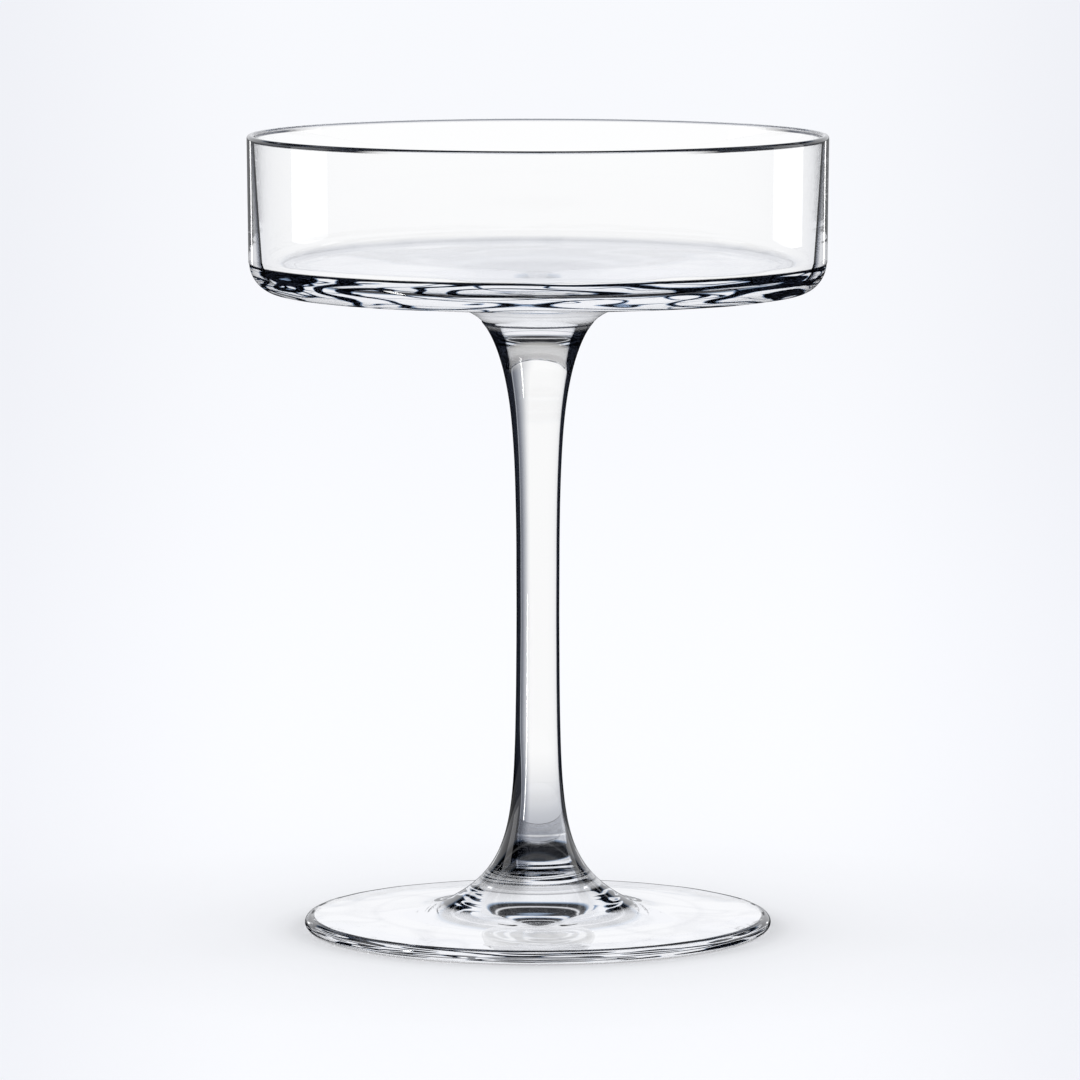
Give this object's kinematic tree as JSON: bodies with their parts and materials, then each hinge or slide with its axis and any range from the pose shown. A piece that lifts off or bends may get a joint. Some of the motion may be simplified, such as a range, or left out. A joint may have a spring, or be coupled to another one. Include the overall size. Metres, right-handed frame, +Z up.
{
  "type": "coupe glass",
  "caption": "Clear stemmed drinking glass with a wide, shallow, straight-sided bowl on a slender stem and a round foot.",
  "frame": {"origin": "centre of the plane that the foot rests on", "axes": "+Z up along the stem, from the foot to the rim; the glass is round about Z, so X and Y are free"},
  "size_m": [0.11, 0.11, 0.1515],
  "materials": {
    "bowl_glass": "clear, fire-polished",
    "stem_glass": "clear, fire-polished",
    "foot_glass": "clear, fire-polished"
  },
  "bodies": {
    "root": {"bowl": "bowl_glass", "stem": "stem_glass", "foot": "foot_glass"}
  },
  "joints": []
}
